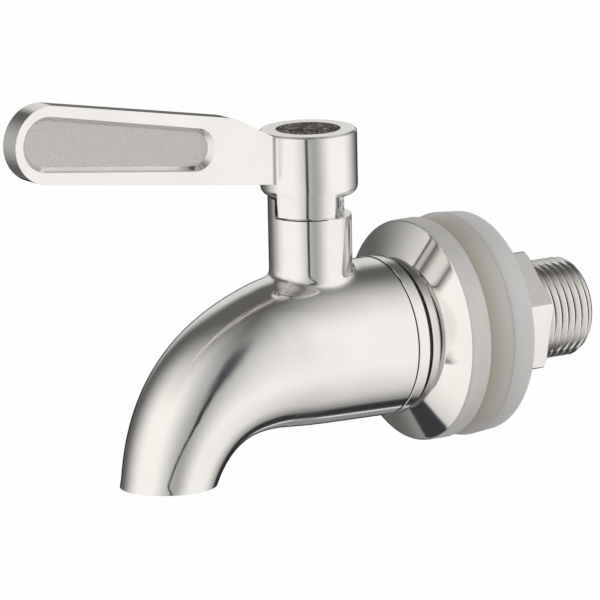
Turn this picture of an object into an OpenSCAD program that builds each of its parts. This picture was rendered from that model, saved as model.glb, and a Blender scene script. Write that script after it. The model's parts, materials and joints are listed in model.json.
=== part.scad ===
// Quarter-turn spigot for a drinks dispenser: a cast, curved spout with a ball
// valve inside, a flag lever on top and a threaded tail that clamps through the
// wall of the tank.
// The origin is the centre of the flange's sealing face, on the axis of the tail.
// +X runs into the tank, the spout and the lever point to -X, and +Z is up.

/* [Spout casting] */
// Outer radius of the barrel that holds the ball valve
barrel_r = 13.3; // [12.8:0.1:15]
// Distance from the sealing face back to the rear end of the casting
casting_back = 11.1; // [10.6:0.1:12]
// Distance from the sealing face to the point where the spout starts to curve
curve_start = 26.8; // [25:0.2:30]
// Distance from the sealing face to the centre of the spout's mouth
reach = 52.6; // [49:0.2:60]
// Height of the mouth below the axis of the tail
drop = 19.6; // [17:0.2:26]
// Lean of the spout's lower end away from upright, in degrees
mouth_lean = 10.2; // [0:0.2:11]
// Outer radius of the spout at the mouth
mouth_outer_r = 7.85; // [7.6:0.05:9]
// Radius of the passage at the mouth
mouth_bore_r = 6.4; // [5.6:0.1:6.6]
// Length of the straight bore at the mouth
mouth_bore_len = 3; // [1:0.2:3.4]
// How far the spine runs level before it bends
level_lead = 5; // [3:0.5:8]
// How gently the taper starts: 0 is at once
taper_ease = 0.12; // [0.02:0.02:0.4]
// How far the spine runs straight above the mouth
mouth_lead = 18.4; // [14:0.2:19]

/* [Neck] */
// Distance from the sealing face to the axis that the valve turns about
valve_x = 23.4; // [23:0.1:24]
// Outer radius of the neck
neck_r = 6.95; // [6.5:0.05:7.4]
// Height of the neck's rim above the axis of the tail
neck_top = 22.4; // [21.8:0.1:23]
// Radius of the blend between the neck and the barrel
neck_blend_r = 2; // [1:0.1:3]
// Height of the half collar that stops the lever, above the rim
collar_h = 3.2; // [2:0.1:4]
// Inner radius of the half collar
collar_bore_r = 5.25; // [5.2:0.05:5.6]

/* [Ball valve] */
// Radius of the ball
ball_r = 8.6; // [8.3:0.1:8.8]
// Radius of the hole through the ball
ball_bore_r = 4.5; // [3.5:0.1:4.7]
// Radius of the chamber round the ball
chamber_r = 9.6; // [9.5:0.1:10]
// Outer radius of the two seats
seat_r = 8.6; // [8:0.1:9]
// Radius of the hole through each seat
seat_bore_r = 4.7; // [4.6:0.1:5.2]
// Distance from the centre of the ball to the inner face of a seat
seat_inner = 6.3; // [6:0.1:6.8]
// Thickness of a seat
seat_t = 2.9; // [2.4:0.1:3.2]
// Width of the slot in the ball that the stem drives
slot_w = 3.1; // [2.6:0.1:3.6]
// Height of the slot's floor above the centre of the ball
slot_floor = 6; // [5.6:0.1:6.4]

/* [Stem] */
// Radius of the stem where it runs in the neck
stem_r = 3.5; // [3.2:0.05:3.9]
// Height of the stem's top above the axis of the tail
stem_top = 26.9; // [26.2:0.1:27.4]
// Radius of the stem's foot flange
foot_r = 4.9; // [4.4:0.1:5.2]
// Thickness of the foot flange
foot_t = 1.4; // [1:0.1:1.8]
// Height of the underside of the foot flange
foot_z = 9; // [8.9:0.1:9.4]
// Length of the tang that sits in the ball's slot
tang_len = 8; // [6:0.2:9]
// Width across the flats of the square at the stem's top
square_w = 4.9; // [4.2:0.1:4.9]
// Thickness of the washer above the foot flange
thrust_t = 1; // [0.6:0.1:1.4]
// Radius of the cross-section of a stem seal
stem_seal_r = 0.58; // [0.4:0.02:0.7]
// Height of the lower stem seal
lower_seal_z = 14; // [13:0.5:15]
// Distance between the two stem seals
seal_gap = 3.2; // [2.4:0.1:3.6]
// Length of the guide bush in the top of the neck
bush_len = 3.2; // [2:0.1:3.8]
// Wall of the guide bush
bush_wall = 1.1; // [0.8:0.1:1.4]

/* [Lever] */
// Outer radius of the lever's round boss
boss_r = 8.1; // [7.6:0.1:9]
// Height of the boss's top above the axis of the tail
boss_top = 36.8; // [36.4:0.1:38]
// Radius of the rounding under the boss
boss_round_r = 1; // [0.4:0.1:1.4]
// Radius of the recess in the boss's top
recess_r = 5.4; // [5:0.1:6]
// Distance from the valve's axis to the centre of the lever's round end
lever_reach = 52; // [44:0.5:60]
// Height of the centre of the lever's round end above the axis of the tail
lever_end_z = 40.8; // [40:0.1:43]
// Radius of the lever's round end
lever_end_r = 6.55; // [6:0.05:7.5]
// Thickness of the lever
lever_t = 3.8; // [3.2:0.1:4.6]
// Rounding of the lever's edges
lever_edge_r = 0.7; // [0.3:0.1:1]
// Radius of the fillets where the lever's sides run into the boss
lever_fillet_r = 1.2; // [0.6:0.1:2]
// Height of the lever's lower edge where it meets the boss
lever_root_z = 28.6; // [28:0.1:30]
// Slope of the lever's upper edge, in degrees
lever_slope = 10.5; // [8:0.5:13]
// Distance from the valve's axis to the end of the straight upper edge
shoulder_x = 17.6; // [17:0.2:22]
// Radius of the panel's outer end in the lever's sides
panel_end_r = 4.65; // [4:0.05:5]
// Radius of the panel's inner end
panel_root_r = 3.6; // [3:0.05:4]
// Length of the panel between the centres of its ends
panel_len = 29.4; // [24:0.2:32]
// Depth of the panel below the lever's side
panel_depth = 0.9; // [0.4:0.1:1.2]
// Angle at which the stop tab under the boss starts, in degrees
tab_start = 194; // [188:1:200]
// Angle that the stop tab covers, in degrees
tab_angle = 75; // [60:1:78]

/* [Cap and screw] */
// Depth of the cap's face below the boss's top
cap_sink = 0.9; // [0.4:0.1:1.4]
// Thickness of the cap
cap_t = 1.9; // [1.5:0.1:2.4]
// Radius of the screw's shank
screw_r = 1.5; // [1.25:0.05:1.6]
// Length of the screw's shank
screw_len = 9; // [7:0.5:10]
// Radius of the screw's head
screw_head_r = 2.75; // [2.4:0.05:3.2]
// Height of the screw's head
screw_head_h = 1.9; // [1.6:0.1:2.4]
// Thickness of the spring washer under the head
spring_t = 0.7; // [0.5:0.1:0.9]

/* [Tail and flange] */
// Outer radius of the thread on the tail
thread_r = 8.33; // [8:0.01:8.6]
// Radius at which the nut's thread and the tail's thread meet
pitch_r = 7.9; // [7.6:0.05:8]
// Length of the tail beyond the sealing face
tail_len = 28.3; // [26:0.1:34]
// Radius of the bore through the tail
inlet_bore_r = 5; // [4.5:0.1:5.6]
// How far the polished ring behind the casting stands out past the barrel
ring_proud = 0.15; // [0:0.05:0.4]
// Width of the polished ring
ring_w = 2.35; // [1.8:0.05:2.8]
// How far the neck between the ring and the flange lies below the ring
step_in = 0.95; // [0.7:0.05:1.4]
// Outer radius of the flange
flange_r = 18.6; // [18:0.1:22]
// Width of the flange's rim
rim_w = 4; // [3:0.1:4.6]
// Whole thickness of the flange
flange_t = 6.4; // [5.4:0.1:7]
// Radius of the flange's front land
land_r = 12.75; // [12.75:0.05:14]

/* [Washers and nut] */
// Thickness of the front sealing washer
front_washer_t = 4.5; // [3:0.1:5]
// Thickness of the rear sealing washer
rear_washer_t = 4.5; // [3:0.1:5]
// How far the sealing washers stand out past the flange
washer_proud = 0.2; // [0:0.1:0.8]
// Taper of the front washer's edge
front_taper = 0.8; // [0.2:0.1:1.2]
// Taper of the rear washer's edge
rear_taper = 0.35; // [0.1:0.05:1]
// Width of the nut across its flats
nut_af = 19.8; // [19:0.1:22]
// Thickness of the nut
nut_t = 9.2; // [7:0.1:10]
// Angle that the nut is turned to, in degrees
nut_turn = 44; // [0:0.1:60]
// Radius of the seal ring's cross-section behind the casting
tail_seal_r = 0.7; // [0.5:0.05:0.8]

/* [Hidden] */

// Clearances, each named for the fit that it sets
run_gap = 0.05;      // a turning shaft in its bore
fit_gap = 0.05;      // a ring or a thread in its pocket
ball_gap = 0.1;      // the ball and the curved face of a seat
lever_gap = 0.3;     // the lever above the neck and the collar
shank_gap = 0.3;     // the tail in the holes of the flange and the washers
seam = 0.15;         // bevel on each side of the seam between casting and ring
skin = 0.03;         // the faceted spout lies this far inside the round barrel
over = 1;            // cuts run this far past the surface
mouth_step = 0.7;    // the drilled mouth is this much wider than the cored passage
mouth_end = 8;       // length of what is cut off below the mouth
bite = 0.04;         // the arm's fillets end this far inside the boss
root_in = 3;         // the spout's skin starts this far inside the barrel
blend_in = 3.2;      // the neck's blend starts this far below the barrel's top

// Facets
round_fn = 96;
sweep_n = 48;
sweep_steps = 22;
passage_n = 32;
passage_steps = 16;
blend_n = 48;
blend_steps = 6;

steel = [0.80, 0.78, 0.76];
bright_steel = [0.88, 0.87, 0.86];
dark_steel = [0.38, 0.36, 0.34];
silicone = [0.80, 0.79, 0.76];
ptfe = [0.93, 0.93, 0.90];
black_rubber = [0.08, 0.08, 0.08];

// Places that several pieces share
ring_r = barrel_r + ring_proud;
step_r = ring_r - step_in;
washer_r = flange_r + washer_proud;
seat_back = seat_inner + seat_t + fit_gap;
pocket_r = seat_r + fit_gap;
nose_r = chamber_r + 1;
nose_x = valve_x - seat_inner - fit_gap;
stem_bore_r = stem_r + run_gap;
roof_z = foot_z + foot_t + thrust_t + fit_gap;
roof_r = foot_r + lever_gap;
bush_r = stem_bore_r + bush_wall;
collar_top = neck_top + collar_h;
boss_z = collar_top + lever_gap;
hub_z = neck_top + lever_gap;
hub_r = collar_bore_r - 0.35;
drive_w = square_w + 2 * run_gap;
web_z = stem_top + 1.7;
ledge_r = screw_head_r + 1.85;
ledge_z = boss_top - cap_sink - cap_t;
flange_bore_r = thread_r + shank_gap;
nut_x = front_washer_t + rear_washer_t;
nut_end = nut_x + nut_t;
tail_chamfer = 0.8;

// Laying a turned piece along X
module along_x(x) {
    translate([x, 0, 0]) rotate([0, 90, 0]) children();
}

// A solid of revolution about X from a profile of [radius, x] points
module turned_x(profile) {
    rotate([0, 90, 0]) rotate_extrude($fn = round_fn) polygon(profile);
}

// A flat ring that stands on z = 0
module ring(outer, inner, t) {
    difference() {
        cylinder(r = outer, h = t, $fn = round_fn);
        translate([0, 0, -over]) cylinder(r = inner, h = t + 2 * over, $fn = round_fn);
    }
}

// A round seal of the given mean radius
module seal_ring(mean_r, section_r) {
    rotate_extrude($fn = round_fn) translate([mean_r, 0]) circle(r = section_r, $fn = 48);
}

// The spine of the spout: one cubic curve in the XZ plane, from the barrel to the mouth
spine_a = [-curve_start, 0];
spine_b = [-curve_start - level_lead, 0];
spine_d = [-reach, -drop];
spine_c = spine_d + mouth_lead * [sin(mouth_lean), cos(mouth_lean)];
function spine(t) = pow(1 - t, 3) * spine_a + 3 * pow(1 - t, 2) * t * spine_b
    + 3 * (1 - t) * t * t * spine_c + pow(t, 3) * spine_d;
function spine_way(t) = let (d = pow(1 - t, 2) * (spine_b - spine_a)
    + 2 * (1 - t) * t * (spine_c - spine_b) + t * t * (spine_d - spine_c)) d / norm(d);
function outer_r(t) = barrel_r
    + (mouth_outer_r - barrel_r) * (1 + taper_ease) * t * t / (t + taper_ease);
function passage_r(t) = seat_bore_r + 0.5 + (mouth_bore_r - mouth_step - seat_bore_r - 0.5) * t;

// A ring of n points round c, square to the way w
function section(c, w, r, n) = [for (i = [0 : n - 1]) let (a = 360 * i / n)
    [c[0] - r * sin(a) * w[1], r * cos(a), c[1] + r * sin(a) * w[0]]];

// One closed skin over rings of n points each
module skinned(rings, n) {
    m = len(rings);
    points = [for (g = rings) for (p = g) p];
    walls = [for (j = [0 : m - 2]) for (i = [0 : n - 1]) let (k = (i + 1) % n)
        [j * n + i, (j + 1) * n + i, (j + 1) * n + k, j * n + k]];
    tris = [for (q = walls) each [[q[0], q[1], q[2]], [q[0], q[2], q[3]]]];
    caps = [[for (i = [0 : n - 1]) i], [for (i = [n - 1 : -1 : 0]) (m - 1) * n + i]];
    polyhedron(points, concat(tris, caps));
}

// The outside of the spout, which starts inside the barrel and ends below the mouth
module spout_outside() {
    root = [[-curve_start + root_in, 0], [-1, 0], barrel_r - over];
    start = [[-curve_start + skin, 0], [-1, 0], barrel_r - skin];
    last = [spine(1) + 2.5 * spine_way(1), spine_way(1), mouth_outer_r - skin];
    stations = concat([root, start],
        [for (i = [1 : sweep_steps]) let (t = i / sweep_steps)
            [spine(t), spine_way(t), outer_r(t) - skin]],
        [last]);
    skinned([for (s = stations) section(s[0], s[1], s[2], sweep_n)], sweep_n);
}

// The place along the spine that lies at a given x
function spine_t(x, lo = 0, hi = 1, n = 18) = n == 0 ? (lo + hi) / 2 :
    let (mid = (lo + hi) / 2)
    spine(mid)[0] > x ? spine_t(x, mid, hi, n - 1) : spine_t(x, lo, mid, n - 1);

// The waterway from the front seat to the mouth
module passage() {
    throat = spine_t(-valve_x - seat_back + over);
    last = [spine(1) + 2.5 * spine_way(1), spine_way(1), passage_r(1)];
    stations = concat(
        [for (i = [0 : passage_steps]) let (t = throat + (1 - throat) * i / passage_steps)
            [spine(t), spine_way(t), passage_r(t)]],
        [last]);
    skinned([for (s = stations) section(s[0], s[1], s[2], passage_n)], passage_n);
}

// Height of the casting's upper skin over a point, along the barrel and along the spout
function skin_z(x, y) = x >= -curve_start ? sqrt(barrel_r * barrel_r - y * y) :
    let (t = spine_t(x), r = outer_r(t)) spine(t)[1] + sqrt(r * r - y * y);

// The saddle-shaped blend where the neck grows out of the barrel: at every angle
// round the neck it is a quarter round standing on the casting's own curved skin
module neck_blend() {
    f = neck_blend_r;
    toe_angle = 72;
    toe = 1.2;
    toe_rho = neck_r + f * (1 - cos(toe_angle)) + toe;
    toe_lift = f * (1 - sin(toe_angle)) - toe / tan(toe_angle);
    function rim(rho, lift) = [for (i = [0 : blend_n - 1])
        let (a = 360 * i / blend_n, x = -valve_x + rho * cos(a), y = rho * sin(a))
        [x, y, skin_z(x, y) + lift]];
    function level(rho, z) = [for (i = [0 : blend_n - 1]) let (a = 360 * i / blend_n)
        [-valve_x + rho * cos(a), rho * sin(a), z]];
    arcs = [for (j = [blend_steps : -1 : 1]) let (b = toe_angle * j / blend_steps)
        rim(neck_r + f * (1 - cos(b)), f * (1 - sin(b)))];
    skinned(concat([level(3, barrel_r - blend_in), rim(neck_r, -2), rim(toe_rho, toe_lift)], arcs,
        [rim(neck_r - 0.5, f + 0.2), level(3, barrel_r + f)]), blend_n);
}

module spigot_body() {
    color(steel) difference() {
        union() {
            along_x(-curve_start) cylinder(r = barrel_r, h = curve_start - casting_back - seam,
                $fn = round_fn);
            along_x(-casting_back - seam)
                cylinder(r1 = barrel_r, r2 = barrel_r - seam, h = seam, $fn = round_fn);
            spout_outside();
            neck_blend();
            translate([-valve_x, 0, 0]) cylinder(r = neck_r, h = collar_top, $fn = round_fn);
        }
        // The front half of the collar is left open, where the stop tab moves
        translate([-valve_x - 2 * neck_r, -4 * neck_r, neck_top])
            cube([4 * neck_r, 4 * neck_r, collar_h + over]);
        translate([-valve_x, 0, 0]) {
            translate([0, 0, neck_top]) cylinder(r = collar_bore_r, h = collar_h + over,
                $fn = round_fn);
            cylinder(r = stem_bore_r, h = collar_top + over, $fn = round_fn);
            cylinder(r = roof_r, h = roof_z, $fn = round_fn);
            translate([0, 0, neck_top - bush_len]) cylinder(r = bush_r, h = bush_len + over,
                $fn = round_fn);
        }
        along_x(-valve_x - seat_back) cylinder(r = pocket_r, h = seat_back, $fn = round_fn);
        along_x(-valve_x - seat_inner) cylinder(r = chamber_r, h = 2 * seat_inner + over,
            $fn = round_fn);
        along_x(-nose_x - fit_gap) cylinder(r = nose_r + fit_gap, h = nose_x, $fn = round_fn);
        passage();
        translate([-reach, 0, -drop - over])
            cylinder(r = mouth_bore_r, h = mouth_bore_len + over, $fn = round_fn);
        // The mouth is cut level
        translate([-reach - 2 * mouth_outer_r, -2 * mouth_outer_r, -drop - mouth_end])
            cube([4 * mouth_outer_r, 4 * mouth_outer_r, mouth_end]);
    }
}

// The tail: a nose that screws into the casting, the polished ring, and the
// threaded shank that goes through the tank. The thread's crests set its radius,
// and under the nut the two threads meet at their pitch radius.
module tail_nipple() {
    groove_w = 2 * tail_seal_r + 0.1;
    groove_r = nose_r - 2 * tail_seal_r;
    ring_x = -casting_back;
    step_x = ring_x + ring_w;
    color(bright_steel) difference() {
        union() {
            along_x(-nose_x) cylinder(r = nose_r, h = nose_x - casting_back - groove_w,
                $fn = round_fn);
            along_x(ring_x - groove_w - over) cylinder(r = groove_r, h = groove_w + 2 * over,
                $fn = round_fn);
            along_x(ring_x) cylinder(r1 = ring_r - seam, r2 = ring_r, h = seam, $fn = round_fn);
            along_x(ring_x + seam) cylinder(r = ring_r, h = ring_w - seam, $fn = round_fn);
            along_x(step_x) cylinder(r = step_r, h = -flange_t - step_x, $fn = round_fn);
            along_x(-flange_t) cylinder(r = thread_r, h = flange_t + nut_x, $fn = round_fn);
            along_x(nut_x) cylinder(r = pitch_r, h = nut_t, $fn = round_fn);
            along_x(nut_end) cylinder(r = thread_r, h = tail_len - nut_end - tail_chamfer,
                $fn = round_fn);
            along_x(tail_len - tail_chamfer)
                cylinder(r1 = thread_r, r2 = thread_r - tail_chamfer, h = tail_chamfer,
                    $fn = round_fn);
        }
        along_x(-nose_x - over) cylinder(r = inlet_bore_r, h = nose_x + tail_len + 2 * over,
            $fn = round_fn);
        along_x(-nose_x - over) cylinder(r = pocket_r, h = seat_t + 2 * fit_gap + over,
            $fn = round_fn);
    }
}

module tail_seal_ring() {
    color(black_rubber) along_x(-casting_back - tail_seal_r - 0.05)
        seal_ring(nose_r - tail_seal_r + fit_gap / 2, tail_seal_r - fit_gap / 2);
}

// A seat, with its hollow face towards the ball; side is 1 for the rear seat
module seat(side) {
    color(ptfe) translate([-valve_x, 0, 0]) rotate([0, 90 * side, 0]) difference() {
        translate([0, 0, seat_inner]) ring(seat_r, seat_bore_r, seat_t);
        sphere(r = ball_r + ball_gap, $fn = round_fn);
    }
}

module front_seat() {
    seat(-1);
}

module rear_seat() {
    seat(1);
}

module valve_ball() {
    color(bright_steel) translate([-valve_x, 0, 0]) difference() {
        sphere(r = ball_r, $fn = round_fn);
        along_x(-ball_r - over) cylinder(r = ball_bore_r, h = 2 * (ball_r + over),
            $fn = round_fn);
        translate([-ball_r - over, -slot_w / 2, slot_floor])
            cube([2 * (ball_r + over), slot_w, ball_r]);
    }
}

module valve_stem() {
    tang_w = slot_w - 2 * run_gap;
    tang_z = slot_floor + 0.2;
    groove_r = stem_bore_r - 2 * stem_seal_r;
    groove_w = 2 * stem_seal_r + 0.2;
    color(steel) translate([-valve_x, 0, 0]) difference() {
        union() {
            intersection() {
                translate([-tang_len / 2, -tang_w / 2, tang_z])
                    cube([tang_len, tang_w, foot_z - tang_z + foot_t / 2]);
                cylinder(r = foot_r, h = foot_z + foot_t, $fn = round_fn);
            }
            translate([0, 0, foot_z]) cylinder(r = foot_r, h = foot_t, $fn = round_fn);
            translate([0, 0, foot_z]) cylinder(r = stem_r, h = neck_top - foot_z,
                $fn = round_fn);
            translate([-square_w / 2, -square_w / 2, neck_top - over])
                cube([square_w, square_w, stem_top - neck_top + over]);
        }
        for (z = [lower_seal_z, lower_seal_z + seal_gap])
            translate([0, 0, z - groove_w / 2]) ring(stem_r + over, groove_r, groove_w);
        translate([0, 0, web_z - screw_len - over])
            cylinder(r = screw_r + fit_gap, h = screw_len + 2 * over, $fn = round_fn);
    }
}

module thrust_washer() {
    color(ptfe) translate([-valve_x, 0, foot_z + foot_t]) ring(foot_r, stem_bore_r, thrust_t);
}

module stem_seal(z) {
    color(black_rubber) translate([-valve_x, 0, z])
        seal_ring(stem_bore_r - stem_seal_r - 0.02, stem_seal_r - 0.02);
}

module lower_stem_seal() {
    stem_seal(lower_seal_z);
}

module upper_stem_seal() {
    stem_seal(lower_seal_z + seal_gap);
}

module guide_bush() {
    color(ptfe) translate([-valve_x, 0, neck_top - bush_len])
        ring(bush_r - fit_gap / 2, stem_bore_r, bush_len);
}

// Half outline of the boss, with a true round under it and a fine bevel on top
module boss_profile() {
    bevel = 0.3;
    h = boss_top - boss_z;
    difference() {
        union() {
            translate([0, boss_round_r]) square([boss_r, h - boss_round_r]);
            square([boss_r - boss_round_r, h]);
            translate([boss_r - boss_round_r, boss_round_r]) circle(r = boss_round_r, $fn = 48);
        }
        translate([boss_r, h]) rotate(45) square([2 * bevel, bevel * sqrt(2)], center = true);
        translate([-2 * boss_r, -over]) square([2 * boss_r, h + 2 * over]);
    }
}

// Outline of the lever in the plane of its swing, as [distance from the axis, height]
shoulder_r = 12;
shoulder_turn = 17.5;
root_x = 6;
lower_slope = atan2(lever_end_z - lever_end_r - lever_root_z, lever_reach - boss_r);
function lever_outline() =
    let (lower = lower_slope,
         top = lever_slope,
         edge = [lever_reach, lever_end_z] + lever_end_r * [-sin(top), cos(top)],
         brow = edge + (shoulder_x - edge[0]) * [1, tan(top)],
         pivot = brow + shoulder_r * [sin(top), -cos(top)],
         brow_end = pivot + shoulder_r * [-sin(top + shoulder_turn), cos(top + shoulder_turn)],
         fall = tan(top + shoulder_turn))
    concat(
        [for (i = [0 : 24]) let (a = 90 + top - (180 + top - lower) * i / 24)
            [lever_reach, lever_end_z] + lever_end_r * [cos(a), sin(a)]],
        [[root_x, lever_root_z - (boss_r - root_x) * tan(lower)],
         [root_x, brow_end[1] - (brow_end[0] - root_x) * fall]],
        [for (i = [3 : -1 : 0]) let (a = 90 + top + shoulder_turn * i / 3)
            pivot + shoulder_r * [cos(a), sin(a)]]);

// The flat lever, with edges rounded in two steps towards each side
module lever_blade() {
    e = lever_edge_r;
    translate([-valve_x, 0, 0]) rotate([90, 0, 0]) mirror([1, 0, 0])
        hull() for (s = [[0, 0], [0.3, 0.7], [1, 1]])
            linear_extrude(height = lever_t - 2 * e * (1 - s[1]), center = true)
                offset(delta = -e * s[0] * 0.7) polygon(lever_outline());
}

// Two upright fillets where the sides of the lever run into the boss. They follow the
// lever's own outline, and end just inside the boss so that they meet its wall.
module lever_fillets() {
    half = lever_t / 2;
    meet = boss_r - bite;
    f = lever_fillet_r;
    out = sqrt(pow(meet + f, 2) - pow(half + f, 2));
    lean = atan2(half + f, out);
    wedge = concat([[out, 0], [out, half]],
        [for (i = [1 : 6]) let (a = -90 - (90 - lean) * i / 6)
            [out + f * cos(a), half + f + f * sin(a)]],
        [[(meet - f) * cos(lean), (meet - f) * sin(lean)], [(meet - f) * cos(lean), 0]]);
    translate([-valve_x, 0, 0]) intersection() {
        rotate([90, 0, 0]) mirror([1, 0, 0])
            linear_extrude(height = 2 * boss_r, center = true) polygon(lever_outline());
        for (side = [0, 1]) mirror([0, side, 0]) mirror([1, 0, 0])
            linear_extrude(height = boss_top + lever_end_r) polygon(wedge);
    }
}

// The sunk panel in one side of the lever, with sloping walls; side is -1 or 1
module lever_panel(side) {
    slope = (lever_slope + lower_slope) / 2;
    from = [lever_reach + 0.4, lever_end_z + 0.15];
    to = from - panel_len * [cos(slope), sin(slope)];
    module slot(inset, t) {
        for (c = [[from, panel_end_r], [to, panel_root_r]])
            translate([-c[0][0], 0, c[0][1]]) rotate([90, 0, 0])
                cylinder(r = c[1] - inset, h = t, center = true, $fn = 32);
    }
    translate([-valve_x, 0, 0]) hull() {
        translate([0, side * (lever_t / 2 + 0.5), 0]) slot(-0.4, 0.2);
        translate([0, side * (lever_t / 2 - panel_depth + 0.005), 0]) slot(0.8, 0.01);
    }
}

module handle() {
    tab_low_r = boss_r - 0.35;
    color(bright_steel) difference() {
        union() {
            translate([-valve_x, 0, boss_z]) rotate_extrude($fn = round_fn) boss_profile();
            translate([-valve_x, 0, hub_z]) cylinder(r = hub_r, h = boss_z - hub_z + over,
                $fn = round_fn);
            translate([-valve_x, 0, 0]) rotate_extrude(angle = tab_angle, start = tab_start,
                $fn = round_fn)
                polygon([[hub_r - over, hub_z], [tab_low_r - 0.3, hub_z],
                    [tab_low_r, hub_z + 0.3], [boss_r, boss_z + boss_round_r],
                    [hub_r - over, boss_z + boss_round_r]]);
            lever_fillets();
            difference() {
                lever_blade();
                lever_panel(-1);
                lever_panel(1);
            }
        }
        translate([-valve_x, 0, 0]) {
            translate([-drive_w / 2, -drive_w / 2, hub_z - over])
                cube([drive_w, drive_w, stem_top + 0.2 - hub_z + over]);
            cylinder(r = screw_r + 0.2, h = boss_top, $fn = round_fn);
            translate([0, 0, web_z]) cylinder(r = ledge_r, h = boss_top, $fn = round_fn);
            translate([0, 0, ledge_z]) cylinder(r = recess_r, h = boss_top, $fn = round_fn);
        }
    }
}

// Split washer, cut through on one side
module spring_washer() {
    color(steel) translate([-valve_x, 0, web_z]) difference() {
        ring(screw_head_r, screw_r + 0.1, spring_t);
        rotate([0, 0, 40]) translate([0, -0.25, -over])
            cube([screw_head_r + over, 0.5, spring_t + 2 * over]);
    }
}

module handle_screw() {
    head_z = web_z + spring_t;
    color(dark_steel) translate([-valve_x, 0, head_z]) difference() {
        union() {
            cylinder(r = screw_head_r, h = screw_head_h, $fn = round_fn);
            translate([0, 0, -screw_len]) cylinder(r = screw_r, h = screw_len + over,
                $fn = round_fn);
        }
        translate([0, 0, screw_head_h / 2]) cylinder(r = screw_r * 0.95, h = screw_head_h,
            $fn = 6);
    }
}

// The plug in the boss's top, hollow underneath to clear the screw
module handle_cap() {
    color(dark_steel) translate([-valve_x, 0, ledge_z]) difference() {
        cylinder(r = recess_r - 0.02, h = cap_t, $fn = round_fn);
        translate([0, 0, -over]) cylinder(r = ledge_r, h = cap_t / 2 + over, $fn = round_fn);
    }
}

// The dished flange: a front land, a cone and a rolled rim
module flange() {
    lip = 0.5;
    color(bright_steel) turned_x([[flange_bore_r, 0], [flange_r, 0], [flange_r, -rim_w + lip],
        [flange_r - 0.15, -rim_w + 0.15], [flange_r - lip, -rim_w], [land_r, -flange_t],
        [flange_bore_r, -flange_t]]);
}

// A moulded washer whose edge tapers from one radius to the other
module moulded_washer(x, t, r0, r1) {
    e = 0.35;
    color(silicone) turned_x([[flange_bore_r, x], [r0 - e, x], [r0, x + e], [r1, x + t - e],
        [r1 - e, x + t], [flange_bore_r, x + t]]);
}

module front_washer() {
    moulded_washer(0, front_washer_t, washer_r - front_taper, washer_r);
}

module rear_washer() {
    moulded_washer(front_washer_t, rear_washer_t, washer_r, washer_r - rear_taper);
}

// Hexagon nut, bevelled at both faces
module mounting_nut() {
    corner_r = nut_af / 2 / cos(30);
    face_r = corner_r - 0.8;
    bevel = 0.55;
    color(steel) difference() {
        intersection() {
            along_x(nut_x) rotate([0, 0, 90 + nut_turn]) cylinder(r = corner_r, h = nut_t,
                $fn = 6);
            turned_x([[0, nut_x], [face_r, nut_x], [corner_r + 0.1, nut_x + bevel],
                [corner_r + 0.1, nut_end - bevel], [face_r, nut_end], [0, nut_end]]);
        }
        along_x(nut_x - over) cylinder(r = pitch_r + fit_gap, h = nut_t + 2 * over,
            $fn = round_fn);
    }
}

spigot_body();
tail_nipple();
tail_seal_ring();
front_seat();
rear_seat();
valve_ball();
valve_stem();
thrust_washer();
lower_stem_seal();
upper_stem_seal();
guide_bush();
handle();
spring_washer();
handle_screw();
handle_cap();
flange();
front_washer();
rear_washer();
mounting_nut();
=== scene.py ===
import json
from math import asin, atan2, cos, hypot, pi, radians, sin, sqrt, tan

import bmesh
import bpy
from mathutils import Matrix, Vector


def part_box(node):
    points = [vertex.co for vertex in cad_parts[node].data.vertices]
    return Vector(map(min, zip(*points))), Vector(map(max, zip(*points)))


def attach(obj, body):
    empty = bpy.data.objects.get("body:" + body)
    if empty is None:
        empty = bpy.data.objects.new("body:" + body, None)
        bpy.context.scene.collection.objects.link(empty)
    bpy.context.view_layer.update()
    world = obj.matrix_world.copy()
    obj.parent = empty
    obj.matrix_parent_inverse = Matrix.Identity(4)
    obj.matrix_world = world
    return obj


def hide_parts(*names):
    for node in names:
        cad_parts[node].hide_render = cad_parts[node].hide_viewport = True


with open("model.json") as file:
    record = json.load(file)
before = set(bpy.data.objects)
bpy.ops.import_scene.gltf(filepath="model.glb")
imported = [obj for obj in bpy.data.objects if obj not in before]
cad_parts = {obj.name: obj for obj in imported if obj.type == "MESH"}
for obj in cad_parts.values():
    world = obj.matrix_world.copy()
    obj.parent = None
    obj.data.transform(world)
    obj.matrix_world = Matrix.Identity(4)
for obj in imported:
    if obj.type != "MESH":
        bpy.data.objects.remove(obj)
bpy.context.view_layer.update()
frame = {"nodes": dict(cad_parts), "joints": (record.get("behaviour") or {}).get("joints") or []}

bl_info = {
    "name": "Drinks dispenser spigot",
    "version": (1, 0, 0),
    "blender": (4, 5, 0),
    "location": "View3D > Sidebar > Spigot",
    "description": "Dresses the packed spigot: polished casting, lever, thread, washers and stage",
    "category": "Add Mesh",
}

MM = 0.001
VALVE = Vector((frame["joints"][0]["pos_m"][0], 0, 0))
BODY_LO, BODY_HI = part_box("spigot_body")
LEVER_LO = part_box("handle")[0]
TAIL_LO, TAIL_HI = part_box("tail_nipple")
FLANGE_LO, FLANGE_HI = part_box("flange")
NUT_LO, NUT_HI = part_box("mounting_nut")
CAP_LO, CAP_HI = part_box("handle_cap")
FIXED = "spout_body"
TURNING = "lever"
THREAD_DEPTH = 0.64
SEAT_R = 8.65 * MM
FAR = 40 * MM
CAMERA_AZIMUTH = radians(-33.7392)


# Values that a user would change


def length(name, description, default):
    """A length in metres."""
    return bpy.props.FloatProperty(name=name, description=description, default=default,
                                   unit="LENGTH", subtype="DISTANCE", precision=5)


def colour(name, description, default):
    """A linear colour."""
    return bpy.props.FloatVectorProperty(name=name, description=description, default=default,
                                         subtype="COLOR", size=3, min=0.0, max=1.0)


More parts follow.
